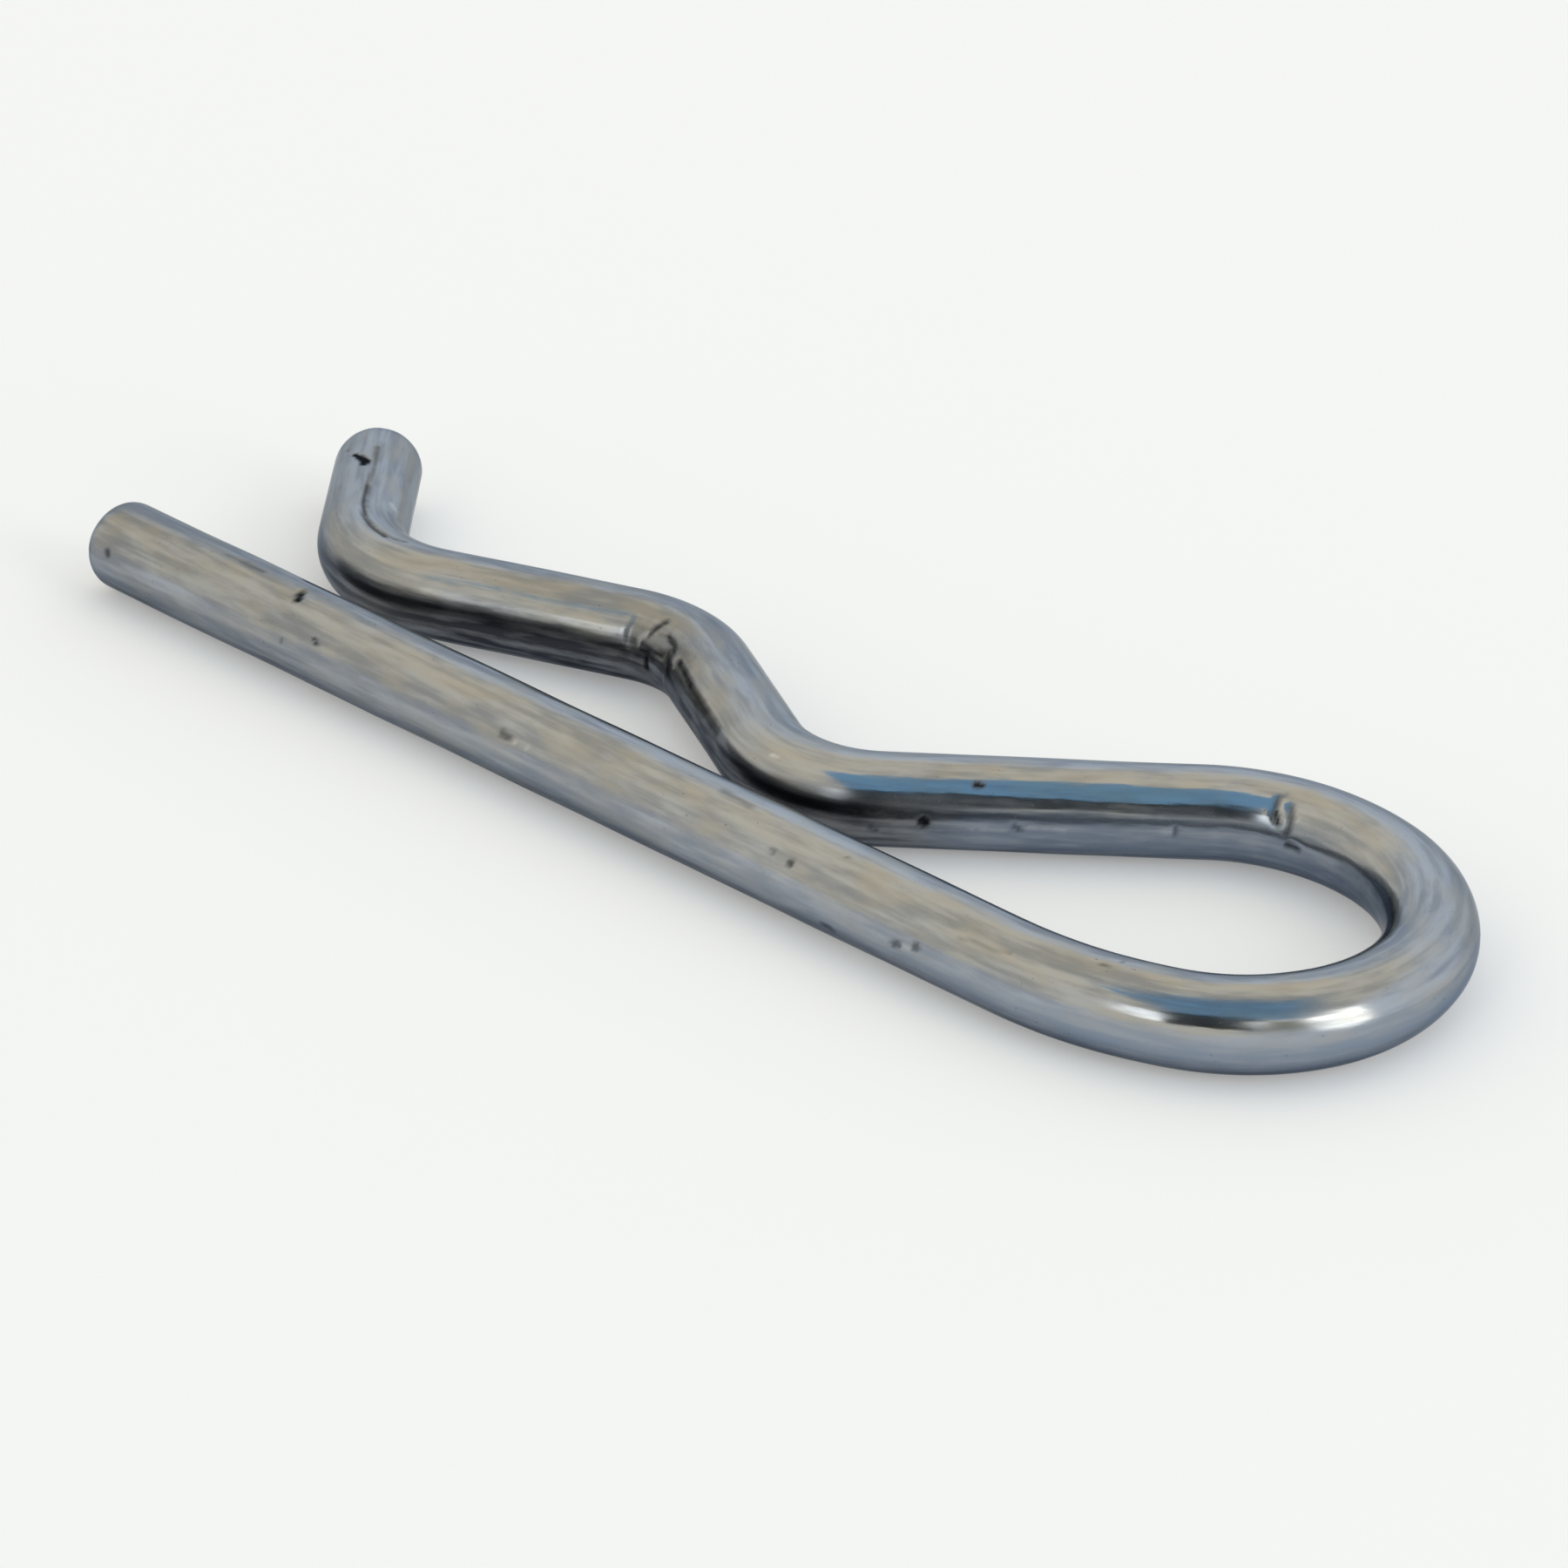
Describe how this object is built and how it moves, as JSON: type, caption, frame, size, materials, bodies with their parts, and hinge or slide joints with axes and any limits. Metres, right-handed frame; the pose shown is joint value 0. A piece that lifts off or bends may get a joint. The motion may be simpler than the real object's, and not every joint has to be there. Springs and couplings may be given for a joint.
{
  "type": "hitch pin r clip",
  "caption": "R-shaped spring clip bent from round plated steel wire: the straight leg goes through a hitch pin's cross hole, and the cranked leg snaps over the pin.",
  "frame": {"origin": "where the hitch pin's axis crosses the axis of the straight leg", "axes": "+X along the straight leg from its tip to the bow, +Y towards the cranked leg, +Z square to the plane that the wire is bent in; the clip lies flat, with its lowest side half a wire below the origin"},
  "size_m": [0.0651, 0.0218, 0.004],
  "materials": {
    "zinc_plated_wire": "bright zinc plate on drawn spring steel, satin, with fine drawing lines and small pits"
  },
  "bodies": {
    "root": {"r_clip": "zinc_plated_wire"}
  },
  "joints": []
}
